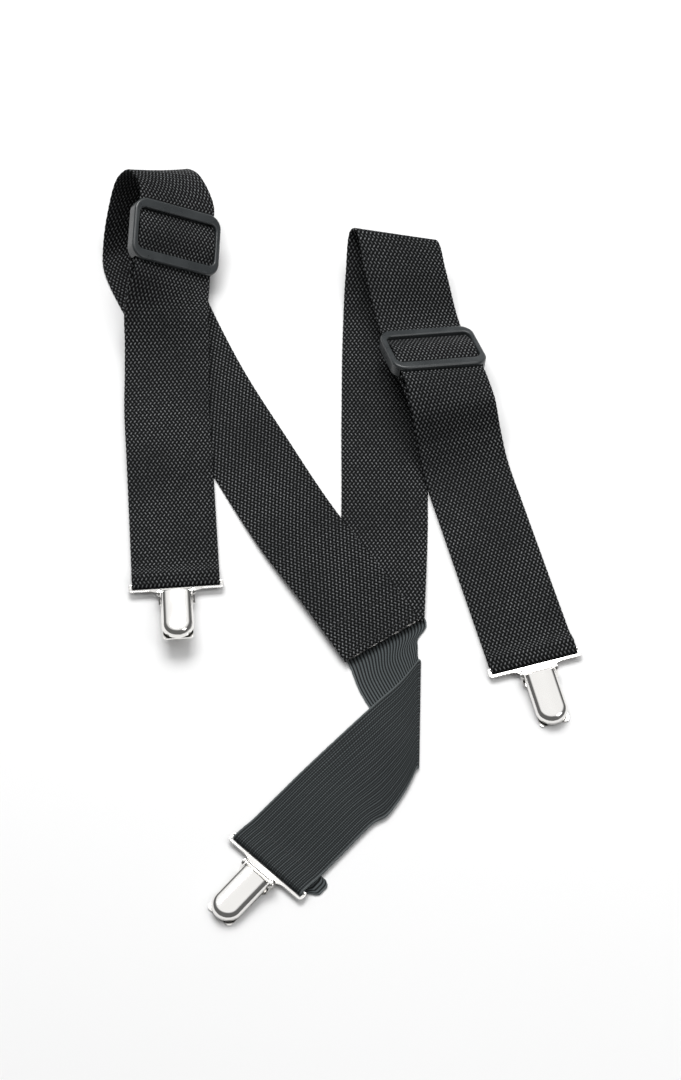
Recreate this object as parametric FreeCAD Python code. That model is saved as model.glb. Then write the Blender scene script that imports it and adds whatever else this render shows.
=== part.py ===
import FreeCAD, Part
import math
import os

# Y-back suspenders laid down loosely on a table, in millimetres, +Z up.
# Two woven straps, each with a tri-glide slider and a clip, meet at a sewn yoke,
# where a ribbed elastic with a third clip carries on.
# The straps are ribbons: a list of cuts across the width, joined smoothly.

V = FreeCAD.Vector
UP = V(0, 0, 1)

# ---- Driving dimensions ----
WEB_WIDTH = 50.0
WEB_THICK = 1.4
ELASTIC_WIDTH = 50.0
ELASTIC_THICK = 1.2
LAYER_GAP = 0.3
LEFT_FRONT_RUN = 121.8
RIGHT_FRONT_RUN = 129.9
ELASTIC_RUN = 52.0
HEM_LENGTH = 14.0
HEM_SKEW = 5.0
RIBBON_STEP = 7.0
LEFT_FRONT_YAW = 4.2
RIGHT_FRONT_YAW = 15.7
ELASTIC_YAW = -42.5
YOKE_YAW = 32.7
YOKE_END = V(23.6, -67.5, 0)

# Fold of a strap round the clip's loop bar
LOOP_BAR_R = 1.2
FOLD_CLEARANCE = 0.4
FOLD_RISE_RUN = 15.0
FOLD_CUTS = 8

# Slider
SLIDER_LENGTH = 39.5
RAIL_WIDTH = 3.4
SIDE_CLEARANCE = 0.6
END_BAR = 6.5
END_BAR_THICK = 2.5
CENTRE_BAR = 6.0
CENTRE_BAR_THICK = 2.0
STRAP_CLEARANCE = 0.3
SLIDER_CORNER_R = 8.5
WINDOW_CORNER_R = 4.0
SLIDER_EDGE_R = 1.5
WINDOW_EDGE_R = 1.0
SLIDER_FOOT_R = 0.5
CENTRE_BAR_ROUND = 0.4
TAB_THICK = 1.1
TAB_LENGTH = 22.0
TAB_BAR_GAP = 0.1
TAB_BEND = 0.5
SLIDER_TRAVEL = 5.0
SLIDER_LEAD = 6.0

# Clip, in its own frame: x from the webbing to the tip, y across, z up,
# origin at the middle of the loop bar
SHEET = 0.9
LOOP_SIDE_GAP = 0.4
LOOP_SIDE = 1.6
LOOP_CORNER_R = 2.0
LOOP_EDGE_R = 0.3
NEAR_BAR = 1.5
SHOULDER_LENGTH = 1.8
SHOULDER_REACH = 5.5
SHOULDER_CURVE = 2.4
SHOULDER_POINTS = 8
PIVOT_REACH = 4.1
PIVOT_Z = 2.6
PIN_R = 0.9
PIN_HEAD_R = 1.5
PIN_HEAD = 0.5
RUN_CLEARANCE = 0.05
EAR_R = 2.8
EAR_GAP = 0.3
EAR_FOOT = 2.0
LUG_GAP = 0.2
LUG_REACH = 2.0
LUG_FALL = 0.3
LEVER_HALF = 9.1
LEVER_LENGTH = 30.5
LEVER_SETBACK = 2.0
LEVER_ARCH_R = 24.0
LEVER_TOP_START = 7.0
LEVER_TOP_END = 4.4
LEVER_RIM_R = 4.2
SKIRT_START = 1.6
SKIRT_END = -0.9
NECK_FLAT = 1.0
PLATE_STEP = 2.4
PLATE_BEND = 0.36
PLATE_TAPER = 3.0
PLATE_INSET = 0.6
TIP_INSET = 1.0
TIP_CORNER = 1.2
TABLE_GAP = 0.1
LIP_INSET = 0.9
LIP_HALF = 3.2
LIP_HEIGHT = 1.1
TOOTH_PITCH = 2.6
TOOTH_GAP = 1.0
JAW_THICK = 0.6
JAW_SIDE_GAP = 0.6
JAW_NOSE_GAP = 0.35
JAW_TIP_GAP = 0.5
JAW_LIP = 1.2
PAD_LENGTH = 7.5
PAD_INSET = 0.8
PAD_GAP = 0.15
LEFT_CLIP_PITCH = 15.0

# Sewing: a seam's rows, measured from the end that it holds
STITCH = 0.5
STITCH_LENGTH = 2.6
STITCH_PITCH = 4.0
STITCH_PROUD = 0.1
SEAM_SIDE_INSET = 4.0
TAB_SIDE_INSET = 3.0
TAB_ROWS = (3.5, 9.0)
YOKE_ROWS = (4.0, 22.0)
HEM_ROW = 3.0

# How far a cutter or a hidden joint runs past the face it meets
EXTRA = 1.0
TOLERANCE = 0.01

# The drawing's zero, measured from the middle of the whole part's footprint
LAYOUT_ORIGIN = V(4.8, -6.9, 0)

LAYER = WEB_THICK + LAYER_GAP

# One clip serves the straps and the elastic, so it takes the larger of the two
CLIP_WIDTH = max(WEB_WIDTH, ELASTIC_WIDTH)
CLIP_THICK = max(WEB_THICK, ELASTIC_THICK)


def level(number):
    """Height of the middle of a webbing layer lying on `number` layers."""
    return WEB_THICK / 2 + number * LAYER


def direction(degrees):
    """Level unit vector, `degrees` to the right of the -Y direction."""
    angle = math.radians(degrees)
    return V(math.sin(angle), -math.cos(angle), 0)


def across(yaw, roll):
    """Unit vector across a strap, turned by yaw and tipped by roll, right end up."""
    turn = math.radians(yaw)
    tip = math.radians(roll)
    return V(math.cos(turn) * math.cos(tip), math.sin(turn) * math.cos(tip), math.sin(tip))


def cut(x, y, z, yaw=0.0, roll=0.0, width=WEB_WIDTH):
    """One cut across a strap, as the two ends of its width."""
    half = across(yaw, roll) * (width / 2)
    return (V(x, y, z) - half, V(x, y, z) + half)


# ---- Ribbons ----

def middle(pair):
    return (pair[0] + pair[1]) * 0.5


def slope_at(cuts, chords, index, edge):
    """Direction of one edge at a cut, weighted by the nearer neighbour."""
    if index == 0:
        return (cuts[1][edge] - cuts[0][edge]) * (1 / chords[0])
    if index == len(cuts) - 1:
        return (cuts[-1][edge] - cuts[-2][edge]) * (1 / chords[-1])
    before = (cuts[index][edge] - cuts[index - 1][edge]) * (1 / chords[index - 1])
    after = (cuts[index + 1][edge] - cuts[index][edge]) * (1 / chords[index])
    total = chords[index - 1] + chords[index]
    slope = before * (chords[index] / total) + after * (chords[index - 1] / total)
    slope.z = steady(before.z, after.z, slope.z)
    return slope


def steady(before, after, slope):
    """Slope that keeps a height from dipping or rising past its neighbours."""
    if before * after <= 0:
        return 0.0
    most = 3 * min(abs(before), abs(after))
    return max(-most, min(most, slope))


def smooth(cuts, step=RIBBON_STEP):
    """Smooth run of cuts through the given ones."""
    chords = []
    for first, second in zip(cuts, cuts[1:]):
        chords.append((middle(second) - middle(first)).Length)
    run = []
    for index, chord in enumerate(chords):
        count = max(2, round(chord / step))
        for part in range(count):
            t = part / count
            pair = []
            for edge in (0, 1):
                start = cuts[index][edge] * (2 * t ** 3 - 3 * t ** 2 + 1)
                end = cuts[index + 1][edge] * (3 * t ** 2 - 2 * t ** 3)
                leave = slope_at(cuts, chords, index, edge) * (chord * (t ** 3 - 2 * t ** 2 + t))
                arrive = slope_at(cuts, chords, index + 1, edge) * (chord * (t ** 3 - t ** 2))
                pair.append(start + end + leave + arrive)
            run.append(tuple(pair))
    run.append(cuts[-1])
    return run


def normals(run):
    """Unit normals of a run of cuts, on its upper side where it heads for +Y."""
    found = []
    for index, pair in enumerate(run):
        ahead = middle(run[min(index + 1, len(run) - 1)])
        behind = middle(run[max(index - 1, 0)])
        normal = (pair[1] - pair[0]).cross(ahead - behind)
        found.append(normal.normalize())
    return found


def moved(run, distances):
    """The run moved along its own normals, by one distance for each cut."""
    shifted = []
    for pair, normal, distance in zip(run, normals(run), distances):
        shifted.append((pair[0] + normal * distance, pair[1] + normal * distance))
    return shifted


def ribbon(run, thick):
    """Closed solid of a run of cuts."""
    wires = []
    for pair, normal in zip(run, normals(run)):
        half = normal * (thick / 2)
        corners = [pair[0] - half, pair[1] - half, pair[1] + half, pair[0] + half]
        wires.append(Part.makePolygon(corners + corners[:1]))
    return Part.makeLoft(wires, True, True)


def fold_radius(thick):
    return LOOP_BAR_R + FOLD_CLEARANCE + thick / 2


def fold_height(thick):
    """Height of a loop bar whose strap rests on the table."""
    return thick / 2 + fold_radius(thick)


def fold(centre, heading, width, thick):
    """Half turn round a loop bar, from the top layer to the bottom one."""
    side = V(-heading.y, heading.x, 0) * (width / 2)
    run = []
    for index in range(FOLD_CUTS + 1):
        angle = math.pi / 2 - math.pi * index / FOLD_CUTS
        reach = heading * math.cos(angle) + UP * math.sin(angle)
        spot = centre + reach * fold_radius(thick)
        run.append((spot - side, spot + side))
    return run


def ease(t):
    return t * t * (3 - 2 * t)


# ---- Sizes of the clip that follow from the strap it takes ----

BAR_START = fold_radius(CLIP_THICK) + CLIP_THICK / 2 + FOLD_CLEARANCE
BAR_END = BAR_START + NEAR_BAR
NECK = BAR_END + SHOULDER_LENGTH
PIVOT_X = BAR_END + PIVOT_REACH
LEVER_START = PIVOT_X + LEVER_SETBACK
LEVER_END = LEVER_START + LEVER_LENGTH
LEVER_NOSE = LEVER_END - LEVER_HALF
NECK_HALF = LEVER_HALF + EAR_GAP + SHEET
PLATE_HALF = LEVER_HALF - PLATE_INSET
PLATE_END = LEVER_END - TIP_INSET
PLATE_LOW = TABLE_GAP - fold_height(min(WEB_THICK, ELASTIC_THICK))
PLATE_TOP = PLATE_LOW + SHEET
LIP_END = PLATE_END - LIP_INSET
JAW_END = LIP_END - SHEET - JAW_TIP_GAP
JAW_HALF = LEVER_HALF - SHEET - JAW_SIDE_GAP


# ---- Where things lie ----

class Slider:
    """Place of a slider: x across the strap, y up the strap, z away from its face."""

    def __init__(self, centre, yaw, roll, up_strap):
        self.centre = centre
        self.x = across(yaw, roll)
        self.y = (up_strap - self.x * up_strap.dot(self.x)).normalize()
        self.z = self.x.cross(self.y)

    def placement(self):
        turn = FreeCAD.Rotation(self.x, self.y, self.z, "ZXY")
        return FreeCAD.Placement(self.centre, turn)

    def pair(self, along):
        """Cut of the strap at a distance up the strap."""
        spot = self.centre + self.y * along
        return (spot - self.x * (WEB_WIDTH / 2), spot + self.x * (WEB_WIDTH / 2))

    def straight(self):
        """Straight stretch of strap that the slider rides on, from the top down."""
        reach = SLIDER_LENGTH / 2 + SLIDER_TRAVEL
        inner = reach - SLIDER_LEAD
        return [self.pair(spot) for spot in (reach, inner, -inner, -reach)]


LEFT_SLIDER = Slider(V(-99.2, 193.0, 28.0), 5.0, -30.0, V(0.07, 0.975, 0.21))
RIGHT_SLIDER = Slider(V(54.4, 118.9, 17.2), 12.5, -11.0, V(-0.267, 0.901, -0.342))


class Clip:
    """Place of a clip: its loop bar's middle, its heading and how far its tip is raised."""

    def __init__(self, foot, heading, thick, pitch=0.0):
        self.heading = heading
        self.side = V(-heading.y, heading.x, 0)
        self.bar = V(foot.x, foot.y, fold_height(thick))
        self.turn = FreeCAD.Rotation(self.side, -pitch).multiply(
            FreeCAD.Rotation(heading, self.side, UP, "XYZ"))

    def placement(self):
        return FreeCAD.Placement(self.bar, self.turn)

    def pivot(self):
        return self.placement().multVec(V(PIVOT_X, 0, PIVOT_Z))


LEFT_FRONT_HEADING = direction(LEFT_FRONT_YAW)
RIGHT_FRONT_HEADING = direction(RIGHT_FRONT_YAW)
ELASTIC_HEADING = direction(ELASTIC_YAW)
LEFT_FLAT = V(-102.4, 91.0, 0)
RIGHT_FLAT = V(73.0, 46.0, 0)
ELASTIC_FLAT = V(-3.0, -164.6, 0)

LEFT_CLIP = Clip(LEFT_FLAT + LEFT_FRONT_HEADING * LEFT_FRONT_RUN,
                 LEFT_FRONT_HEADING, WEB_THICK, LEFT_CLIP_PITCH)
RIGHT_CLIP = Clip(RIGHT_FLAT + RIGHT_FRONT_HEADING * RIGHT_FRONT_RUN,
                  RIGHT_FRONT_HEADING, WEB_THICK)
BACK_CLIP = Clip(ELASTIC_FLAT + ELASTIC_HEADING * ELASTIC_RUN,
                 ELASTIC_HEADING, ELASTIC_THICK)


# ---- Straps ----

def base_and_front(top_cuts, flat, heading, run_length, yaw, drops):
    """The strap down to the clip, first lying flat, then with its rise to the loop bar.

    drops gives how many layers the flat run lies on, at fractions of its length.
    """
    cuts = list(top_cuts)
    for share, layers in drops:
        spot = flat + heading * (run_length * share)
        cuts.append(cut(spot.x, spot.y, level(layers), yaw))
    base = smooth(cuts)
    end = middle(base[-1])
    rise = 2 * fold_radius(WEB_THICK) + WEB_THICK / 2 - level(1)
    front = []
    for pair in base:
        near = 1 - (middle(pair) - end).Length / FOLD_RISE_RUN
        lift = UP * (rise * ease(max(0.0, near)))
        front.append((pair[0] + lift, pair[1] + lift))
    return base, front


def return_layer(base, slider):
    """Return layer from the clip up to the slider, where it passes under the sewn tab."""
    deep = WEB_THICK + 4 * STRAP_CLEARANCE + 2 * TAB_THICK + 2 * TAB_BAR_GAP + CENTRE_BAR_THICK
    reach = SLIDER_LENGTH / 2 + SLIDER_TRAVEL
    run = []
    depths = []
    for pair in base:
        below = -(middle(pair) - slider.centre).dot(slider.y)
        if below < CENTRE_BAR:
            continue
        share = ease(min(1.0, max(0.0, (below - reach) / reach)))
        run.append(pair)
        depths.append(deep + (LAYER - deep) * share)
    lowered = moved(run, depths)
    lowered.reverse()
    return lowered


def joined(*runs):
    """One run from several, without repeating the cut where they meet."""
    whole = list(runs[0])
    for run in runs[1:]:
        whole.extend(run[1:])
    return whole


def left_strap_run():
    rear = [
        cut(YOKE_END.x, YOKE_END.y, level(2), YOKE_YAW),
        cut(2.0, -34.0, level(2), 32.5),
        cut(-24.2, 5.4, level(1), 31.0),
        cut(-52.5, 55.3, level(0), 29.5),
        cut(-79.6, 104.5, level(0), 27.0),
        cut(-104.1, 159.2, level(0), 23.0),
        cut(-121.0, 203.0, level(0) + 0.8, 19.0),
        cut(-119.5, 224.0, 14.0, 24.0, -12.0),
        cut(-114.0, 240.0, 30.0, 29.0, -26.0),
        cut(-106.0, 234.0, 37.5, 20.0, -30.0),
    ]
    lower = [
        cut(-103.6, 150.0, 15.5, 4.8, -11.0),
        cut(-103.2, 131.0, 8.5, LEFT_FRONT_YAW, -3.0),
        cut(-102.8, 113.0, level(2) + 1.5, LEFT_FRONT_YAW, -1.0),
    ]
    drops = [(0.0, 2), (0.3, 2), (0.5, 1), (0.86, 1), (0.93, 1), (1.0, 1)]
    top = rear + LEFT_SLIDER.straight() + lower
    base, front = base_and_front(
        top, LEFT_FLAT, LEFT_FRONT_HEADING, LEFT_FRONT_RUN, LEFT_FRONT_YAW, drops)
    start = len(smooth(rear + LEFT_SLIDER.straight()[:1])) - 1
    return front, base[start:]


def right_strap_run():
    rear = [
        cut(22.4, -53.0, level(1), -3.0),
        cut(23.6, -30.0, level(1), -2.0),
        cut(25.2, 5.0, level(0), -1.0),
        cut(25.6, 80.0, level(0), 0.0),
        cut(26.6, 148.0, level(0) + 0.4, 0.0),
        cut(28.0, 178.0, 8.0, -2.0, -4.0),
        cut(31.0, 200.0, 20.0, -5.0, -9.0),
        cut(34.0, 196.0, 26.0, -3.0, -9.0),
        cut(38.6, 176.0, 21.0, 3.0, -9.0),
    ]
    lower = [
        cut(65.3, 80.0, 23.5, 14.5, -5.0),
        cut(69.5, 61.5, 10.5, 15.5, -1.0),
    ]
    drops = [(0.0, 2), (0.2, 1), (0.45, 1), (0.87, 1), (0.935, 1), (1.0, 1)]
    top = rear + RIGHT_SLIDER.straight() + lower
    base, front = base_and_front(
        top, RIGHT_FLAT, RIGHT_FRONT_HEADING, RIGHT_FRONT_RUN, RIGHT_FRONT_YAW, drops)
    start = len(smooth(rear + RIGHT_SLIDER.straight()[:1])) - 1
    return front, base[start:]


def strap(run_function, slider, clip):
    """A whole strap as one solid: rear run, loop, front run, fold and return."""
    front, base = run_function()
    turn = fold(clip.bar, clip.heading, WEB_WIDTH, WEB_THICK)
    back = return_layer(base, slider)
    return ribbon(joined(front, turn, back), WEB_THICK)


def elastic_level(number):
    return ELASTIC_THICK / 2 + number * (ELASTIC_THICK + LAYER_GAP)


def elastic_cut(x, y, yaw, spread, layer):
    """Cut across the elastic where it lies on `layer` layers, spread along a slanting fold."""
    return cut(x, y, elastic_level(layer), yaw, 0.0, ELASTIC_WIDTH * spread)


def elastic_fold(line):
    """Turn of the elastic over itself, about a fold line on the table."""
    radius = (elastic_level(1) - elastic_level(0)) / 2
    run = []
    for index in range(1, FOLD_CUTS):
        angle = -math.pi / 2 + math.pi * index / FOLD_CUTS
        shift = V(radius * math.cos(angle), 0, radius * (1 + math.sin(angle)))
        run.append((line[0] + shift, line[1] + shift))
    return run


def loop_bar_rise(distance):
    """How far the elastic's upper layer has risen towards the loop bar."""
    rise = 2 * fold_radius(ELASTIC_THICK) + ELASTIC_THICK / 2 - elastic_level(1)
    return rise * ease(max(0.0, 1 - distance / FOLD_RISE_RUN))


def elastic_run():
    """The elastic: from under the yoke, over its fold, down to the back clip."""
    upper = smooth([
        elastic_cut(9.5, -43.0, 31.2, 1.0, 0),
        elastic_cut(26.9, -69.7, 31.0, 1.01, 0),
        elastic_cut(27.2, -81.0, 45.0, 0.94, 0),
        elastic_cut(31.25, -91.5, 60.3, 0.99, 0),
        elastic_cut(38.0, -104.75, 79.4, 1.19, 0),
        elastic_cut(42.9, -111.9, 88.4, 1.35, 0),
    ])
    half = V(-ELASTIC_HEADING.y, ELASTIC_HEADING.x, 0) * (ELASTIC_WIDTH / 2)
    cuts = [
        elastic_cut(42.9, -111.9, 88.4, 1.35, 1),
        elastic_cut(35.4, -124.4, 92.1, 1.33, 1),
        elastic_cut(23.75, -138.5, 97.3, 1.33, 1),
    ]
    for share in (0.0, 0.35, 0.68, 0.78, 0.88, 1.0):
        spot = ELASTIC_FLAT + ELASTIC_HEADING * (ELASTIC_RUN * share)
        lift = loop_bar_rise(ELASTIC_RUN * (1 - share))
        spot = spot + UP * (elastic_level(1) + lift)
        cuts.append((spot + half, spot - half))
    return joined(upper, elastic_fold(upper[-1]) + cuts[:1], smooth(cuts))


def back_elastic():
    turn = fold(BACK_CLIP.bar, ELASTIC_HEADING, ELASTIC_WIDTH, ELASTIC_THICK)
    turn = [(pair[1], pair[0]) for pair in turn]
    slide = ELASTIC_HEADING * -HEM_LENGTH + BACK_CLIP.side * HEM_SKEW
    hem_end = (turn[-1][0] + slide, turn[-1][1] + slide)
    run = joined(elastic_run(), turn, [turn[-1], hem_end])
    return ribbon(run, ELASTIC_THICK)


# ---- Sliders and their sewn tabs ----

def boxed(x0, x1, y0, y1, z0, z1):
    return Part.makeBox(x1 - x0, y1 - y0, z1 - z0, V(x0, y0, z0))


def rounded_slab(half_x, half_y, radius, z0, z1):
    """Upright slab with round corners."""
    slab = boxed(-half_x, half_x, -half_y, half_y, z0, z1)
    upright = [edge for edge in slab.Edges
               if abs(edge.Vertexes[0].Z - edge.Vertexes[1].Z) > (z1 - z0) / 2]
    return slab.makeFillet(radius, upright)


def edges_at_height(shape, z):
    """Edges that lie at one height."""
    found = []
    for edge in shape.Edges:
        box = edge.BoundBox
        if abs(box.ZMin - z) < TOLERANCE and abs(box.ZMax - z) < TOLERANCE:
            found.append(edge)
    return found


def slider_levels():
    """Heights of the slider's faces about the middle of the strap."""
    bar_low = WEB_THICK / 2 + STRAP_CLEARANCE
    tab_top = -bar_low
    centre_top = tab_top - TAB_THICK - TAB_BAR_GAP
    centre_low = centre_top - CENTRE_BAR_THICK
    return bar_low, bar_low + END_BAR_THICK, tab_top, centre_top, centre_low


def slider_frame():
    """Tri-glide: a raised ring with a window, two rails below it and a lower centre bar."""
    bar_low, top, tab_top, centre_top, centre_low = slider_levels()
    inner = WEB_WIDTH / 2 + SIDE_CLEARANCE
    half_x = inner + RAIL_WIDTH
    half_y = SLIDER_LENGTH / 2
    window = rounded_slab(inner, half_y - END_BAR, WINDOW_CORNER_R, bar_low - EXTRA, top + EXTRA)
    body = rounded_slab(half_x, half_y, SLIDER_CORNER_R, centre_low, top)
    body = body.makeFillet(SLIDER_EDGE_R, edges_at_height(body, top))
    body = body.makeFillet(SLIDER_FOOT_R, edges_at_height(body, centre_low))
    passage = boxed(-inner, inner, -half_y - EXTRA, half_y + EXTRA, centre_low - EXTRA, bar_low)
    ring = body.cut([passage, window])
    ring = ring.makeFillet(WINDOW_EDGE_R, window_edges(ring, top))
    centre = boxed(-inner, inner, -CENTRE_BAR / 2, CENTRE_BAR / 2, centre_low, centre_top)
    long_edges = [edge for edge in centre.Edges
                  if abs(edge.Vertexes[0].X - edge.Vertexes[1].X) > inner]
    centre = centre.makeFillet(CENTRE_BAR_THICK * CENTRE_BAR_ROUND, long_edges)
    return ring.fuse(centre).removeSplitter()


def window_edges(ring, top):
    """Edges round the window in the ring's top face."""
    inner = WEB_WIDTH / 2 + SIDE_CLEARANCE
    return [edge for edge in edges_at_height(ring, top)
            if edge.BoundBox.XMax < inner + TOLERANCE and edge.BoundBox.XMin > -inner - TOLERANCE
            and abs(edge.CenterOfMass.y) < SLIDER_LENGTH / 2 - END_BAR + TOLERANCE]


def tab_run():
    """Hairpin of webbing round the centre bar, closed at its tail."""
    tab_top, centre_low = slider_levels()[2], slider_levels()[4]
    high = tab_top - TAB_THICK / 2
    low = centre_low - TAB_BAR_GAP - TAB_THICK / 2
    mid = (high + low) / 2
    radius = (high - low) / 2
    near = (TAB_THICK + TAB_BAR_GAP) / 2
    half = V(WEB_WIDTH / 2, 0, 0)
    spots = [V(0, -TAB_LENGTH, mid + near), V(0, -TAB_LENGTH / 2, mid + near),
             V(0, -CENTRE_BAR / 2 - TAB_BEND, high), V(0, CENTRE_BAR / 2 - radius / 2, high)]
    for index in range(1, 6):
        angle = math.pi / 2 - math.pi * index / 6
        nose = CENTRE_BAR / 2 - radius / 2 + radius * math.cos(angle)
        spots.append(V(0, nose, mid + radius * math.sin(angle)))
    spots += [V(0, CENTRE_BAR / 2 - radius / 2, low), V(0, -CENTRE_BAR / 2 - TAB_BEND, low),
              V(0, -TAB_LENGTH / 2, mid - near), V(0, -TAB_LENGTH, mid - near)]
    return [(spot - half, spot + half) for spot in spots]


def stitch_row(start, end, z0, z1):
    """Row of short stitches, each going down through the layers from z1 to z0."""
    length = (end - start).Length
    count = int(length / STITCH_PITCH)
    way = (end - start).normalize()
    turn = FreeCAD.Rotation(V(1, 0, 0), way)
    stitches = []
    for index in range(count):
        spot = start + way * ((index + 0.5) * length / count)
        stitch = boxed(-STITCH_LENGTH / 2, STITCH_LENGTH / 2, -STITCH / 2, STITCH / 2, 0, z1 - z0)
        stitch.Placement = FreeCAD.Placement(V(spot.x, spot.y, z0), turn)
        stitches.append(stitch)
    return stitches


def tab_stitching():
    """Two rows across the tab's tail."""
    tab_top, centre_low = slider_levels()[2], slider_levels()[4]
    mid = (tab_top + centre_low - TAB_BAR_GAP - TAB_THICK) / 2
    reach = TAB_THICK + TAB_BAR_GAP / 2 + STITCH_PROUD
    side = V(WEB_WIDTH / 2 - TAB_SIDE_INSET, 0, 0)
    rows = []
    for row in TAB_ROWS:
        spot = V(0, row - TAB_LENGTH, 0)
        rows += stitch_row(spot - side, spot + side, mid - reach, mid + reach)
    return Part.makeCompound(rows)


# ---- Clips ----

def profile_plate(points, half_y):
    """Plate bent along y: a side profile pushed across the width."""
    corners = [V(x, -half_y, z) for x, z in points]
    face = Part.Face(Part.makePolygon(corners + corners[:1]))
    return face.extrude(V(0, 2 * half_y, 0))


def plan_plate(points, z0, z1):
    """Flat plate from a plan outline."""
    corners = [V(x, y, z0) for x, y in points]
    face = Part.Face(Part.makePolygon(corners + corners[:1]))
    return face.extrude(V(0, 0, z1 - z0))


def rod(radius, half_y, x=0.0, z=0.0):
    return Part.makeCylinder(radius, 2 * half_y, V(x, -half_y, z), V(0, 1, 0))


def teeth(x0, x1, z0, z1):
    """Cutters for the gaps between the teeth of a gripping edge."""
    return [boxed(x0, x1, index * TOOTH_PITCH - TOOTH_GAP / 2, index * TOOTH_PITCH + TOOTH_GAP / 2, z0, z1)
            for index in range(-2, 3)]


def clip_loop():
    """Long ring that the strap is folded round, with round corners."""
    loop_in = CLIP_WIDTH / 2 + LOOP_SIDE_GAP
    loop_out = loop_in + LOOP_SIDE
    half_x = (BAR_END + LOOP_BAR_R) / 2
    ring = rounded_slab(half_x, loop_out, LOOP_CORNER_R, -SHEET / 2, SHEET / 2)
    outline = edges_at_height(ring, SHEET / 2) + edges_at_height(ring, -SHEET / 2)
    ring = ring.makeFillet(LOOP_EDGE_R, outline)
    ring.translate(V(half_x - LOOP_BAR_R, 0, 0))
    opening = boxed(-LOOP_BAR_R - EXTRA, BAR_START, -loop_in, loop_in, -SHEET, SHEET)
    return ring.cut(opening).fuse(rod(LOOP_BAR_R, loop_in + LOOP_SIDE / 2))


def clip_shoulder():
    """Flat piece that narrows from the loop to the neck."""
    start = BAR_END - NEAR_BAR / 4
    outline = []
    for index in range(SHOULDER_POINTS + 1):
        share = index / SHOULDER_POINTS
        reach = SHOULDER_REACH * (1 - share) ** SHOULDER_CURVE
        outline.append((start + (NECK - start) * share, NECK_HALF + reach))
    outline += [(x, -y) for x, y in reversed(outline)]
    return plan_plate(outline, -SHEET / 2, SHEET / 2)


def clip_back_plate():
    """Back plate, stepped down from the neck, with a turned-up toothed lip."""
    half = SHEET / 2
    step = NECK + NECK_FLAT
    side_view = [(NECK, half), (step, half), (step + PLATE_STEP, PLATE_TOP), (PLATE_END, PLATE_TOP),
                 (PLATE_END, PLATE_LOW), (step + PLATE_STEP - PLATE_BEND, PLATE_LOW),
                 (step - PLATE_BEND, -half), (NECK, -half)]
    plate = profile_plate(side_view, NECK_HALF)
    ear_end = PIVOT_X + EAR_R + EAR_FOOT / 2
    plan = [(NECK - EXTRA, -NECK_HALF), (ear_end, -NECK_HALF), (ear_end + PLATE_TAPER, -PLATE_HALF),
            (PLATE_END - TIP_CORNER, -PLATE_HALF), (PLATE_END, TIP_CORNER - PLATE_HALF)]
    plan += [(x, -y) for x, y in reversed(plan)]
    plate = plate.common(plan_plate(plan, PLATE_LOW - EXTRA, SHEET))
    lip = boxed(LIP_END - SHEET, LIP_END, -LIP_HALF, LIP_HALF, PLATE_LOW + half, PLATE_TOP + LIP_HEIGHT)
    lip = lip.cut(teeth(LIP_END - 2 * SHEET, LIP_END + SHEET, PLATE_TOP + LIP_HEIGHT / 2,
                        PLATE_TOP + 2 * LIP_HEIGHT))
    return plate.fuse(lip)


def clip_ear(side):
    """Ear at one side of the neck, round about the pivot."""
    start = NECK_HALF - SHEET if side > 0 else -NECK_HALF
    disc = Part.makeCylinder(EAR_R, SHEET, V(PIVOT_X, start, PIVOT_Z), V(0, 1, 0))
    low = PLATE_TOP - SHEET / 2
    foot = [(PIVOT_X - EAR_R, PIVOT_Z), (PIVOT_X + EAR_R, PIVOT_Z),
            (PIVOT_X + EAR_R + EAR_FOOT, low), (NECK + NECK_FLAT + PLATE_STEP, low),
            (NECK + NECK_FLAT, -SHEET / 4), (PIVOT_X - EAR_R, 0)]
    corners = [V(x, start, z) for x, z in foot]
    web = Part.Face(Part.makePolygon(corners + corners[:1])).extrude(V(0, SHEET, 0))
    return disc.fuse(web)


def clip_frame():
    """Stamped frame: loop for the strap, shoulder, ears and back plate."""
    frame = clip_loop().fuse([clip_shoulder(), clip_back_plate(), clip_ear(-1), clip_ear(1)])
    return frame.cut(rod(PIN_R, NECK_HALF + EXTRA, PIVOT_X, PIVOT_Z)).removeSplitter()


def clip_pin():
    """Pivot pin with a flat head at each end."""
    pin = rod(PIN_R, NECK_HALF + RUN_CLEARANCE, PIVOT_X, PIVOT_Z)
    for side in (-1, 1):
        start = NECK_HALF + RUN_CLEARANCE if side > 0 else -NECK_HALF - RUN_CLEARANCE - PIN_HEAD
        head = Part.makeCylinder(PIN_HEAD_R, PIN_HEAD, V(PIVOT_X, start, PIVOT_Z), V(0, 1, 0))
        pin = pin.fuse(head)
    return pin


def rim_edges(form):
    """Edges of the arch along its sides and round its nose, not across its open end."""
    arch = max(form.Faces, key=lambda face: (round(face.BoundBox.ZMax, 2), face.Area))
    return [edge for edge in arch.Edges if edge.BoundBox.XLength > LEVER_HALF / 3]


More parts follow.
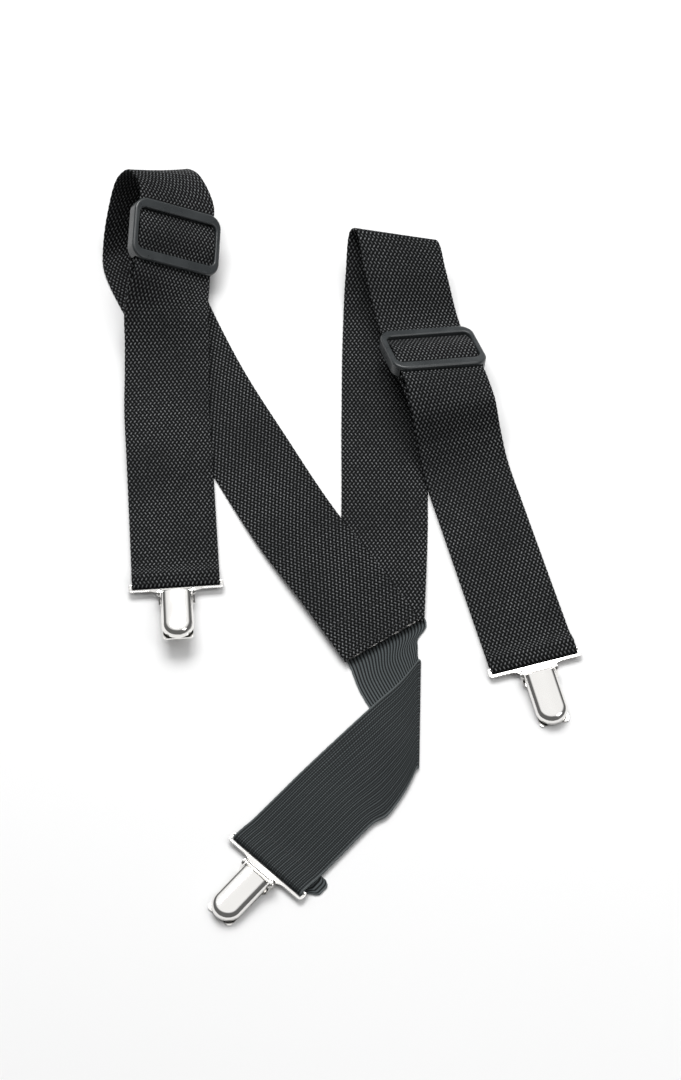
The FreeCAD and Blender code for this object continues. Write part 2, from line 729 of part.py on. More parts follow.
def lever_form(inset):
    """Solid form of the lever: round-ended plan under a sloping arch, rims rounded."""
    half = LEVER_HALF - inset
    start = LEVER_START - (EXTRA if inset else 0)
    low = SKIRT_END - 2 * EXTRA
    high = LEVER_TOP_START + 2 * EXTRA
    plan = boxed(start, LEVER_NOSE, -half, half, low, high)
    tip = Part.makeCylinder(half, high - low, V(LEVER_NOSE, 0, low))
    plan = plan.fuse(tip).removeSplitter()
    fall = math.atan2(LEVER_TOP_START - LEVER_TOP_END, LEVER_LENGTH)
    way = V(math.cos(fall), 0, -math.sin(fall))
    radius = LEVER_ARCH_R - inset
    top = V(LEVER_START, 0, LEVER_TOP_START - LEVER_ARCH_R)
    arch = Part.makeCylinder(radius, 2 * LEVER_LENGTH, top - way * (LEVER_LENGTH / 3), way)
    form = plan.common(arch)
    form = form.makeFillet(LEVER_RIM_R - inset, rim_edges(form))
    deep = 2 * LEVER_ARCH_R
    back = start - EXTRA
    front = LEVER_END + EXTRA
    floor = [(back, -deep), (back, SKIRT_START), (front, SKIRT_END), (front, -deep)]
    return form.cut(profile_plate(floor, deep))


def clip_lever():
    """Domed cover with two lugs on the pivot pin."""
    outer = lever_form(0.0)
    inner = lever_form(SHEET)
    cover = outer.cut(inner)
    half = LEVER_HALF
    lug_r = PIVOT_Z - SHEET / 2 - LUG_GAP
    lug_end = LEVER_START + LUG_REACH
    for side in (-1, 1):
        start = half - SHEET if side > 0 else -half
        disc = Part.makeCylinder(lug_r, SHEET, V(PIVOT_X, start, PIVOT_Z), V(0, 1, 0))
        arm = [(PIVOT_X, PIVOT_Z + lug_r), (lug_end, PIVOT_Z + lug_r - LUG_FALL),
               (lug_end, SKIRT_START - LUG_FALL), (PIVOT_X, PIVOT_Z - lug_r)]
        corners = [V(x, start, z) for x, z in arm]
        web = Part.Face(Part.makePolygon(corners + corners[:1])).extrude(V(0, SHEET, 0))
        cover = cover.fuse([disc, web])
    return cover.cut(rod(PIN_R + RUN_CLEARANCE, half + EXTRA, PIVOT_X, PIVOT_Z)).removeSplitter()


def jaw_plan():
    """Plan of the space inside the closed lever, less a clearance."""
    radius = LEVER_HALF - SHEET - JAW_NOSE_GAP
    height = LEVER_TOP_START - PLATE_LOW
    plan = boxed(0, LEVER_NOSE, -radius, radius, PLATE_LOW, LEVER_TOP_START)
    return plan.fuse(Part.makeCylinder(radius, height, V(LEVER_NOSE, 0, PLATE_LOW)))


def jaw_line():
    """Top of the jaw's leaf: start beside the barrel, and end above the plate."""
    start = V(PIVOT_X, 0, PIVOT_Z - PIN_R - RUN_CLEARANCE)
    end = V(JAW_END, 0, PLATE_TOP + JAW_THICK + JAW_LIP)
    return start, end


def clip_jaw():
    """Spring tongue: barrel round the pin, straight leaf and a turned-down toothed edge."""
    start, end = jaw_line()
    barrel_r = PIN_R + RUN_CLEARANCE + JAW_THICK
    barrel = rod(barrel_r, JAW_HALF, PIVOT_X, PIVOT_Z)
    leaf = profile_plate([(start.x, start.z), (end.x, end.z), (end.x, end.z - JAW_THICK),
                          (start.x, start.z - JAW_THICK)], JAW_HALF)
    edge_low = PLATE_TOP + PAD_GAP
    lip = boxed(end.x - JAW_THICK, end.x, -JAW_HALF, JAW_HALF, edge_low, end.z - JAW_THICK / 2)
    lip = lip.cut(teeth(end.x - 2 * JAW_THICK, end.x + JAW_THICK, edge_low - EXTRA, edge_low + JAW_LIP / 2))
    jaw = barrel.fuse([leaf, lip]).common(jaw_plan())
    return jaw.cut(rod(PIN_R + RUN_CLEARANCE, JAW_HALF + EXTRA, PIVOT_X, PIVOT_Z)).removeSplitter()


def clip_jaw_pad():
    """Grip pad under the leaf, behind the toothed edge."""
    start, end = jaw_line()
    fall = (start.z - end.z) / (end.x - start.x)
    x1 = end.x - JAW_THICK
    x0 = x1 - PAD_LENGTH
    under = end.z - JAW_THICK
    base = PLATE_TOP + PAD_GAP
    side_view = [(x0, under + fall * (end.x - x0)), (x1, under + fall * (end.x - x1)),
                 (x1, base), (x0, base)]
    return profile_plate(side_view, JAW_HALF - PAD_INSET).common(jaw_plan())


# ---- The whole part ----

def yoke_stitching():
    """Two rows through the straps and the elastic, along the left strap's end."""
    along = across(YOKE_YAW, 0)
    back = V(-along.y, along.x, 0)
    half = along * (WEB_WIDTH / 2 - SEAM_SIDE_INSET)
    top = level(2) + WEB_THICK / 2 + STITCH_PROUD
    rows = []
    for row in YOKE_ROWS:
        spot = YOKE_END + back * row
        rows += stitch_row(spot - half, spot + half, ELASTIC_THICK / 2, top)
    return Part.makeCompound(rows)


def hem_stitching():
    """Row across the elastic, through the hem."""
    side = V(-ELASTIC_HEADING.y, ELASTIC_HEADING.x, 0) * (ELASTIC_WIDTH / 2 - SEAM_SIDE_INSET)
    from_bar = HEM_LENGTH - HEM_ROW
    spot = BACK_CLIP.bar - ELASTIC_HEADING * from_bar
    spot.z = 0
    top = elastic_level(1) + ELASTIC_THICK / 2 + loop_bar_rise(from_bar) + STITCH_PROUD
    return Part.makeCompound(stitch_row(spot - side, spot + side, ELASTIC_THICK / 2, top))


def placed(shape, placement):
    """The shape moved to its place on the part."""
    result = shape.copy()
    result.Placement = placement.multiply(result.Placement)
    return result


def all_parts():
    parts = {
        "left_strap": strap(left_strap_run, LEFT_SLIDER, LEFT_CLIP),
        "right_strap": strap(right_strap_run, RIGHT_SLIDER, RIGHT_CLIP),
        "back_elastic": back_elastic(),
        "yoke_stitching": yoke_stitching(),
        "back_hem_stitching": hem_stitching(),
    }
    for name, slider in (("left", LEFT_SLIDER), ("right", RIGHT_SLIDER)):
        parts[name + "_slider"] = placed(slider_frame(), slider.placement())
        parts[name + "_strap_tab"] = placed(ribbon(tab_run(), TAB_THICK), slider.placement())
        parts[name + "_tab_stitching"] = placed(tab_stitching(), slider.placement())
    for name, clip in (("left_front", LEFT_CLIP), ("right_front", RIGHT_CLIP), ("back", BACK_CLIP)):
        where = clip.placement()
        parts[name + "_clip_frame"] = placed(clip_frame(), where)
        parts[name + "_clip_pin"] = placed(clip_pin(), where)
        parts[name + "_clip_lever"] = placed(clip_lever(), where)
        parts[name + "_clip_jaw"] = placed(clip_jaw(), where)
        parts[name + "_clip_jaw_pad"] = placed(clip_jaw_pad(), where)
    for shape in parts.values():
        shape.translate(LAYOUT_ORIGIN)
    return parts


def main():
    os.makedirs("parts", exist_ok=True)
    for name, shape in all_parts().items():
        shape.exportStep("parts/" + name + ".step")


if __name__ == "__main__":
    main()
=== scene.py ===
import math

import bpy
import numpy as np
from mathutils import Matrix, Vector


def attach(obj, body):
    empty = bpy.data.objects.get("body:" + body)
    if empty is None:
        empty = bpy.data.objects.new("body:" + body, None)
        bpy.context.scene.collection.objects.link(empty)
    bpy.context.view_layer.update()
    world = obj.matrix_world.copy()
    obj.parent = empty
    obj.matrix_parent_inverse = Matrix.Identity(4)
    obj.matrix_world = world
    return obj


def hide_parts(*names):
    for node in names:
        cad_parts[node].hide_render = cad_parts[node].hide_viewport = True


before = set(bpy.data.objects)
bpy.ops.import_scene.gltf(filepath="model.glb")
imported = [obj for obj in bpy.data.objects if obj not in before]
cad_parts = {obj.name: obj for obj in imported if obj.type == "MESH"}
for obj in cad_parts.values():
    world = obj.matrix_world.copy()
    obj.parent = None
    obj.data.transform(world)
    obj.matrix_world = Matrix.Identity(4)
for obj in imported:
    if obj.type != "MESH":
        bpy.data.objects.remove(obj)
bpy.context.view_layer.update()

# Looks of a pair of Y-back suspenders lying on a table.
# The layout is in millimetres, in the plan that the CAD model was drawn on: +Z up, with
# the clips towards -Y. Its zero sits at LAYOUT_ORIGIN in the shared frame.

MM = 0.001
UP = np.array([0.0, 0.0, 1.0])

# ---- Sizes, mm ----

# Straps and elastic
WEB_WIDTH = 50.0
WEB_THICK = 1.4
ELASTIC_WIDTH = 50.0
ELASTIC_THICK = 1.2
LAYER_GAP = 0.3
LAYER = WEB_THICK + LAYER_GAP
LEFT_FRONT_RUN = 121.8
RIGHT_FRONT_RUN = 129.9
ELASTIC_RUN = 52.0

# Hem of the elastic: it slides to one side over its first stretch
HEM_LENGTH = 14.0
HEM_SLIDE = 6.5
HEM_SLIDE_RUN = 6.0
HEM_CORNER_R = 3.5
HEM_CORNER_REACH = 0.99
HEM_CUTS = 29

# Fold of a band round its clip's loop bar, with a slight ridge in the webbing before it
LOOP_BAR_R = 1.2
FOLD_CLEARANCE = 0.4
FOLD_RISE_RUN = 15.0
FOLD_CUTS = 24
CREASE_RISE = 1.5
CREASE_AT = 5.5

# Slider, and the strap's sewn end on its centre bar
SLIDER_LENGTH = 39.5
SLIDER_TRAVEL = 5.0
SLIDER_LEAD = 6.0
END_BAR = 6.5
CENTRE_BAR = 6.0
CENTRE_BAR_THICK = 2.0
STRAP_CLEARANCE = 0.3
TAB_THICK = 1.1
TAB_LENGTH = 22.0
TAB_BAR_GAP = 0.1
TAB_BEND = 0.5

# Webbing bulging through a slider's window
HUMP_HALF = 15.5
HUMP_RISE = 3.0
HUMP_THICK = 0.7
HUMP_LIFT = 0.2
HUMP_OVERLAP = 0.1
HUMP_REACH = 1.02
HUMP_FULLNESS = 0.7
HUMP_CUTS = 63

LAYOUT_ORIGIN = np.array([4.8, -6.9, 0.0])

# Relief: one checkered cell of the webbing, and the ribs on the elastic's two faces
CELLS_ACROSS = 42
CELL_ACROSS = WEB_WIDTH / CELLS_ACROSS
CELL_ALONG = 2.0
WEAVE_DEPTH = 0.13
WIDE_RIB = 2.05
FINE_RIB = 1.25
RIB_DEPTH = 0.08

# Selvedges: the mesh's first places across, how far in the edge is rounded as a share of
# the thickness, and how much of the relief's depth the edge waves by
SELVEDGE = (0.0, 0.1, 0.35, 0.75)
EDGE_ROUNDING = 0.6
EDGE_WAVE = 0.7
FLAT_PART = 0.99

# How finely the bands are cut along their runs
RUN_CUTS = 24
WEB_STEP = CELL_ALONG / 2
ELASTIC_STEP = 1.2

# Details that only the shaders draw: slant and strands of the webbing's floats, rows of
# stitches across the elastic, and where its pale edge starts and is full
FLOAT_SLANT = 0.3
STRAND_PITCH = 0.3
PURL_PITCH = 1.2
PALE_EDGE = (1.3, 0.5)

# Sewing: rows are measured from the end that they hold
STITCH_PITCH = 4.0
STITCH_LENGTH = 2.9
THREAD_R = 0.24
THREAD_TIP = 0.35
THREAD_SINK = 0.6
THREAD_SIDES = 8
THREAD_RINGS = 7
TAB_ROWS = (3.5, 9.0)
TAB_SIDE_INSET = 3.0
YOKE_ROWS = (4.0, 22.0)
HEM_ROW = 3.0
SEAM_SIDE_INSET = 4.0
YOKE_THREAD_LOW = 0.15

# Bead of melted webbing along the left strap's cut end
BEAD_RINGS = 140
BEAD_SIDES = 8
BEAD_R = 0.42
BEAD_SWELL = 0.16
BEAD_OUT = 0.15
BEAD_DRIFT = 0.12
BEAD_TALL = 1.5

# Headings, degrees to the right of straight down the plan, and the middle of the left
# strap's sewn end
LEFT_FRONT_YAW = 4.2
RIGHT_FRONT_YAW = 15.7
ELASTIC_YAW = -42.5
YOKE_YAW = 32.7
YOKE_END = (23.6, -67.5)

# Light: a bright patch of sky, high and a little behind, in a dim surround. Places and
# sizes of the lamps and the floor are in metres.
SKY_AXIS = (0.0, 0.42, 0.91)
SKY_EDGE = 0.62
SKY_FULL = 0.87
SKY_DIM = 0.14
SKY_BRIGHT = 1.05
KEY_PLACE, KEY_SIZE, KEY_WATTS = (-0.15, 0.95, 1.45), (1.2, 0.8), 23
FILL_PLACE, FILL_SIZE, FILL_WATTS = (0.9, -0.3, 1.1), (0.6, 0.6), 3
FLOOR_HALF = 3.0

# Tints, as shares of a grey
NEUTRAL = (1.0, 1.0, 1.0)
PILE_TINT = (0.95, 1.0, 1.05)
# Tint of the painted glint on the webbing's float crowns
PAINTED_GLINT_TINT = (0.97, 1.0, 1.02)
# Elastic: tints of its valleys and rib tops, which carry painted shade and painted highlight
ELASTIC_DARK_TINT = (0.92, 1.02, 1.05)
ELASTIC_RIB_TINT = (0.89, 1.02, 1.06)
ELASTIC_EDGE_TINT = (0.92, 1.02, 1.04)
BURR_TINT = (1.0, 0.98, 0.94)
PLASTIC_TINT = (0.9, 1.02, 1.08)
NICKEL_TINT = (1.0, 0.985, 0.96)
STEEL_TINT = (1.0, 0.97, 0.92)

# Camera: distance in metres, and the picture's scale at the part
CAMERA_DISTANCE = 1.65
CAMERA_ELEVATION = 60.0
PIXELS_PER_MM = 1.74
IMAGE_HEIGHT = 1080
SENSOR = 36.0


# ---- Ribbons: a run is an array of cuts, each the two ends of a strap's width ----

def direction(degrees):
    """Level unit vector, `degrees` to the right of the -Y direction."""
    angle = math.radians(degrees)
    return np.array([math.sin(angle), -math.cos(angle), 0.0])


def across(yaw, roll):
    """Unit vector across a strap, turned by yaw and tipped by roll, right end up."""
    turn, tip = math.radians(yaw), math.radians(roll)
    level_share = math.cos(tip)
    return np.array([math.cos(turn) * level_share, math.sin(turn) * level_share, math.sin(tip)])


def cut(x, y, z, yaw, roll=0.0, width=WEB_WIDTH):
    """One cut across a strap, as the two ends of its width."""
    half = across(yaw, roll) * (width / 2)
    spot = np.array([x, y, z])
    return np.array([spot - half, spot + half])


def level(number):
    """Height of the middle of a webbing layer lying on `number` layers."""
    return WEB_THICK / 2 + number * LAYER


def middle(run):
    """Middle line of a run."""
    return run.mean(axis=1)


def steady(before, after, slope):
    """Slopes that keep a height from dipping or rising past its neighbours."""
    most = 3 * np.minimum(abs(before), abs(after))
    return np.where(before * after <= 0, 0.0, np.clip(slope, -most, most))


def smooth(cuts):
    """Dense smooth run through the given cuts."""
    cuts = np.array(cuts)
    chords = np.linalg.norm(np.diff(middle(cuts), axis=0), axis=1)
    steps = np.diff(cuts, axis=0) / chords[:, None, None]
    slopes = np.empty_like(cuts)
    slopes[0], slopes[-1] = steps[0], steps[-1]
    for index in range(1, len(cuts) - 1):
        before, after = steps[index - 1], steps[index]
        share = chords[index] / (chords[index - 1] + chords[index])
        slopes[index] = before * share + after * (1 - share)
        slopes[index, :, 2] = steady(before[:, 2], after[:, 2], slopes[index, :, 2])
    run = []
    for index, chord in enumerate(chords):
        for t in np.arange(RUN_CUTS) / RUN_CUTS:
            run.append(cuts[index] * (2 * t ** 3 - 3 * t ** 2 + 1)
                       + cuts[index + 1] * (3 * t ** 2 - 2 * t ** 3)
                       + slopes[index] * (chord * (t ** 3 - 2 * t ** 2 + t))
                       + slopes[index + 1] * (chord * (t ** 3 - t ** 2)))
    run.append(cuts[-1])
    return np.array(run)


def lengths_along(run):
    """Distance from the start to each cut, along the run's middle."""
    steps = np.linalg.norm(np.diff(middle(run), axis=0), axis=1)
    return np.concatenate([[0.0], np.cumsum(steps)])


def evenly(run, step):
    """The run again, with cuts about step apart along its middle."""
    along = lengths_along(run)
    count = max(2, round(along[-1] / step))
    wanted = np.linspace(0, along[-1], count + 1)
    flat = run.reshape(len(run), 6)
    columns = [np.interp(wanted, along, flat[:, column]) for column in range(6)]
    return np.stack(columns, axis=1).reshape(-1, 2, 3)


def normals(run):
    """Unit normals of a run, on its upper side where it heads for +Y."""
    ahead = np.gradient(middle(run), axis=0)
    normal = np.cross(run[:, 1] - run[:, 0], ahead)
    return normal / np.linalg.norm(normal, axis=1)[:, None]


def joined(*runs):
    """One run from several, without repeating the cut where they meet."""
    return np.concatenate([runs[0]] + [run[1:] for run in runs[1:]])


def ease(t):
    """Smooth step from 0 to 1."""
    t = np.clip(t, 0, 1)
    return t * t * (3 - 2 * t)


def fold_radius(thick):
    """Radius of a band's middle where it turns round a loop bar."""
    return LOOP_BAR_R + FOLD_CLEARANCE + thick / 2


def fold(centre, heading, width, thick):
    """Half turn round a loop bar, from the top layer to the bottom one."""
    side = np.array([-heading[1], heading[0], 0]) * (width / 2)
    run = []
    for angle in np.linspace(math.pi / 2, -math.pi / 2, FOLD_CUTS + 1):
        spot = centre + (heading * math.cos(angle) + UP * math.sin(angle)) * fold_radius(thick)
        run.append([spot - side, spot + side])
    return np.array(run)


class Slider:
    """Place of a slider: x across the strap, y up the strap, z away from its face."""

    def __init__(self, centre, yaw, roll, up_strap):
        self.centre = np.array(centre)
        self.x = across(yaw, roll)
        up_strap = np.array(up_strap)
        up_strap = up_strap - self.x * up_strap.dot(self.x)
        self.y = up_strap / np.linalg.norm(up_strap)
        self.z = np.cross(self.x, self.y)

    def place(self, points):
        """Points from the slider's own frame to the layout."""
        points = np.asarray(points)
        return self.centre + points @ np.array([self.x, self.y, self.z])

    def pair(self, along):
        """The strap's cut at a place along the slider."""
        return self.place([[-WEB_WIDTH / 2, along, 0], [WEB_WIDTH / 2, along, 0]])

    def straight(self):
        """Cuts of the straight stretch of strap that the slider travels on."""
        reach = SLIDER_LENGTH / 2 + SLIDER_TRAVEL
        return [self.pair(along) for along in
                (reach, reach - SLIDER_LEAD, SLIDER_LEAD - reach, -reach)]


class Clip:
    """Place of a clip: its loop bar's middle and its heading."""

    def __init__(self, foot, heading, thick):
        self.heading = heading
        self.side = np.array([-heading[1], heading[0], 0.0])
        self.bar = np.array([foot[0], foot[1], thick / 2 + fold_radius(thick)])


LEFT_SLIDER = Slider((-99.2, 193.0, 28.0), 5.0, -30.0, (0.07, 0.975, 0.21))
RIGHT_SLIDER = Slider((54.4, 118.9, 17.2), 12.5, -11.0, (-0.267, 0.901, -0.342))
LEFT_FRONT_HEADING = direction(LEFT_FRONT_YAW)
RIGHT_FRONT_HEADING = direction(RIGHT_FRONT_YAW)
ELASTIC_HEADING = direction(ELASTIC_YAW)

# Where each flat front run, and the elastic's lower run, starts
LEFT_FLAT = np.array([-102.4, 91.0, 0.0])
RIGHT_FLAT = np.array([73.0, 46.0, 0.0])
ELASTIC_FLAT = np.array([-3.0, -164.6, 0.0])

LEFT_CLIP = Clip(LEFT_FLAT + LEFT_FRONT_HEADING * LEFT_FRONT_RUN, LEFT_FRONT_HEADING, WEB_THICK)
RIGHT_CLIP = Clip(RIGHT_FLAT + RIGHT_FRONT_HEADING * RIGHT_FRONT_RUN,
                  RIGHT_FRONT_HEADING, WEB_THICK)
BACK_CLIP = Clip(ELASTIC_FLAT + ELASTIC_HEADING * ELASTIC_RUN, ELASTIC_HEADING, ELASTIC_THICK)

# Cuts of each strap from the yoke up to its slider (REAR) and below it (LOWER), then how
# many layers its front run lies on at each share of its length (DROPS)
LEFT_REAR = [
    cut(*YOKE_END, level(2), YOKE_YAW),
    cut(2.0, -34.0, level(2), 32.5),
    cut(-24.2, 5.4, level(1), 31.0),
    cut(-52.5, 55.3, level(0), 29.5),
    cut(-79.6, 104.5, level(0), 27.0),
    cut(-104.1, 159.2, level(0), 23.0),
    cut(-121.0, 203.0, level(0) + 0.8, 19.0),
    cut(-119.5, 224.0, 14.0, 24.0, -12.0),
    cut(-114.0, 240.0, 30.0, 29.0, -26.0),
    cut(-106.0, 234.0, 37.5, 20.0, -30.0),
]
LEFT_LOWER = [
    cut(-103.6, 150.0, 15.5, 4.8, -11.0),
    cut(-103.2, 131.0, 8.5, LEFT_FRONT_YAW, -3.0),
    cut(-102.8, 113.0, level(2) + 1.5, LEFT_FRONT_YAW, -1.0),
]
LEFT_DROPS = [(0.0, 2), (0.3, 2), (0.5, 1), (0.86, 1), (0.93, 1), (1.0, 1)]
RIGHT_REAR = [
    cut(22.4, -53.0, level(1), -3.0),
    cut(23.6, -30.0, level(1), -2.0),
    cut(25.2, 5.0, level(0), -1.0),
    cut(25.6, 80.0, level(0), 0.0),
    cut(26.6, 148.0, level(0) + 0.4, 0.0),
    cut(28.0, 178.0, 8.0, -2.0, -4.0),
    cut(31.0, 200.0, 20.0, -5.0, -9.0),
    cut(34.0, 196.0, 26.0, -3.0, -9.0),
    cut(38.6, 176.0, 21.0, 3.0, -9.0),
]
RIGHT_LOWER = [
    cut(65.3, 80.0, 23.5, 14.5, -5.0),
    cut(69.5, 61.5, 10.5, 15.5, -1.0),
]
RIGHT_DROPS = [(0.0, 2), (0.2, 1), (0.45, 1), (0.87, 1), (0.935, 1), (1.0, 1)]


def strap_run(rear, lower, drops, slider, flat, yaw, run_length, clip):
    """A whole strap: rear run, loop, front run, fold round the clip and return layer."""
    cuts = rear + slider.straight() + lower
    for share, layers in drops:
        spot = flat + clip.heading * (run_length * share)
        cuts.append(cut(spot[0], spot[1], level(layers), yaw))
    base = evenly(smooth(cuts), WEB_STEP)
    from_bar = np.linalg.norm(middle(base) - middle(base)[-1], axis=1)
    rise = 2 * fold_radius(WEB_THICK) + WEB_THICK / 2 - level(1)
    lift = ease(1 - from_bar / FOLD_RISE_RUN) * rise
    lift += ease(1 - abs(from_bar / CREASE_AT - 1)) * CREASE_RISE
    front = base + lift[:, None, None] * UP

    # The return layer runs under the front run, back up to the slider
    slider_start = len(smooth(rear + slider.straight()[:1]))
    rear_length = lengths_along(smooth(cuts))[slider_start]
    base = base[lengths_along(base) > rear_length]
    below = -(middle(base) - slider.centre) @ slider.y
    deep = WEB_THICK + 4 * STRAP_CLEARANCE + 2 * TAB_THICK + 2 * TAB_BAR_GAP + CENTRE_BAR_THICK
    reach = SLIDER_LENGTH / 2 + SLIDER_TRAVEL
    depth = deep + (LAYER - deep) * ease((below - reach) / reach)
    back = base + (normals(base) * depth[:, None])[:, None, :]
    back = back[below >= CENTRE_BAR][::-1]
    turn = fold(clip.bar, clip.heading, WEB_WIDTH, WEB_THICK)
    return joined(front, turn, back)


def elastic_level(number):
    """Height of the middle of an elastic layer lying on `number` layers."""
    return ELASTIC_THICK / 2 + number * (ELASTIC_THICK + LAYER_GAP)


def elastic_cut(x, y, yaw, spread, layer):
    """Cut across the elastic where it lies on `layer` layers, spread along a slanting fold."""
    return cut(x, y, elastic_level(layer), yaw, 0.0, ELASTIC_WIDTH * spread)


def elastic_rise():
    """How far the elastic's upper layer climbs to its clip's loop bar."""
    return 2 * fold_radius(ELASTIC_THICK) + ELASTIC_THICK / 2 - elastic_level(1)


def elastic_run():
    """The elastic: from under the yoke, over its fold, down to the clip and its hem."""
    upper = smooth([
        elastic_cut(9.5, -43.0, 31.2, 1.0, 0),
        elastic_cut(26.9, -69.7, 31.0, 1.01, 0),
        elastic_cut(27.2, -81.0, 45.0, 0.94, 0),
        elastic_cut(31.25, -91.5, 60.3, 0.99, 0),
        elastic_cut(38.0, -104.75, 79.4, 1.19, 0),
        elastic_cut(42.9, -111.9, 88.4, 1.35, 0),
    ])
    radius = (elastic_level(1) - elastic_level(0)) / 2
    turn = [upper[-1]]
    for angle in np.linspace(-math.pi / 2, math.pi / 2, 13)[1:]:
        shift = np.array([radius * math.cos(angle), 0, radius * (1 + math.sin(angle))])
        turn.append(upper[-1] + shift)
    half = BACK_CLIP.side * (ELASTIC_WIDTH / 2)
    cuts = [
        elastic_cut(42.9, -111.9, 88.4, 1.35, 1),
        elastic_cut(35.4, -124.4, 92.1, 1.33, 1),
        elastic_cut(23.75, -138.5, 97.3, 1.33, 1),
    ]
    for share in (0.0, 0.35, 0.68, 0.78, 0.88, 1.0):
        spot = ELASTIC_FLAT + ELASTIC_HEADING * (ELASTIC_RUN * share)
        lift = elastic_rise() * ease(1 - ELASTIC_RUN * (1 - share) / FOLD_RISE_RUN)
        spot = spot + UP * (elastic_level(1) + lift)
        cuts.append(np.array([spot + half, spot - half]))
    bar_turn = fold(BACK_CLIP.bar, ELASTIC_HEADING, ELASTIC_WIDTH, ELASTIC_THICK)[:, ::-1]
    return joined(upper, np.array(turn), smooth(cuts), bar_turn, hem_run(bar_turn[-1]))


def hem_run(start):
    """The hem: back under the band, slid to one side, with round corners at its end."""
    run = []
    for back in np.linspace(0, HEM_LENGTH, HEM_CUTS):
        past = max(0.0, back - HEM_LENGTH + HEM_CORNER_R)
        narrower = HEM_CORNER_R - math.sqrt(HEM_CORNER_R ** 2 - (past * HEM_CORNER_REACH) ** 2)
        inward = (start[1] - start[0]) * (narrower / ELASTIC_WIDTH)
        slide = BACK_CLIP.side * (HEM_SLIDE * ease(back / HEM_SLIDE_RUN)) - ELASTIC_HEADING * back
        run.append([start[0] + slide + inward, start[1] + slide - inward])
    return np.array(run)


def slider_levels():
    """Heights of the sewn tab's two layers about the middle of the strap, and between them."""
    high = -(WEB_THICK / 2 + STRAP_CLEARANCE) - TAB_THICK / 2
    low = high - TAB_THICK - CENTRE_BAR_THICK - 2 * TAB_BAR_GAP
    return high, low, (high + low) / 2


def tab_run(slider):
    """Hairpin of webbing round the slider's centre bar, closed at its tail."""
    high, low, mid = slider_levels()
    radius = (high - low) / 2
    near = (TAB_THICK + TAB_BAR_GAP) / 2
    nose = CENTRE_BAR / 2 - radius / 2
    upper = [(-TAB_LENGTH, mid + near), (-TAB_LENGTH / 2, mid + near),
             (-CENTRE_BAR / 2 - TAB_BEND, high)]
    spots = upper + [(nose + radius * math.cos(angle), mid + radius * math.sin(angle))
                     for angle in np.linspace(math.pi / 2, -math.pi / 2, 17)]
    spots += [(y, 2 * mid - z) for y, z in reversed(upper)]
    half = WEB_WIDTH / 2
    return np.array([slider.place([[-half, y, z], [half, y, z]]) for y, z in spots])


def hump_run(slider):
    """Webbing that bulges up in the slider's window, and dips under both end bars."""
    half = WEB_WIDTH / 2 + HUMP_OVERLAP
    foot = WEB_THICK / 2 - HUMP_THICK / 2 + HUMP_LIFT
    run = []
    for y in np.linspace(-HUMP_HALF, HUMP_HALF, HUMP_CUTS):
        share = abs(y) / (SLIDER_LENGTH / 2 - END_BAR)
        z = foot + HUMP_RISE * ease(HUMP_REACH - share) ** HUMP_FULLNESS
        run.append(slider.place([[-half, y, z], [half, y, z]]))
    return np.array(run)


# ---- Meshes ----

def to_world(points):
    """Points from the layout, in mm, to the shared frame, in m."""
    return (np.asarray(points) + LAYOUT_ORIGIN) * MM


def new_object(name, points, faces):
    """Smooth-shaded mesh object from points of the layout."""
    mesh = bpy.data.meshes.new(name)
    mesh.from_pydata([tuple(p) for p in to_world(points)], [], faces)
    mesh.update()
    mesh.polygons.foreach_set("use_smooth", [True] * len(mesh.polygons))
    piece = bpy.data.objects.new(name, mesh)
    bpy.context.scene.collection.objects.link(piece)
    return piece


def check_weave(u, v):
    """Over-and-under height of the webbing, from -1 to 1."""
    return np.cos(math.pi * u / CELL_ACROSS) * np.cos(math.pi * v / CELL_ALONG)


def wide_ribs(u, v):
    """Height of the elastic's under face, from -1 to 1."""
    return np.cos(2 * math.pi * u / WIDE_RIB) + 0 * v


def fine_ribs(u, v):
    """Height of the elastic's upper face, from -1 to 1."""
    return np.cos(2 * math.pi * u / FINE_RIB) + 0 * v


def across_steps(width, step):
    """Places across a band: close together at the two selvedges, then evenly spaced."""
    count = round(width / step)
    inner = np.linspace(-width / 2, width / 2, count + 1)[1:-1]
    edge = np.array(SELVEDGE)
    return np.concatenate([edge - width / 2, inner, (width / 2 - edge)[::-1]])


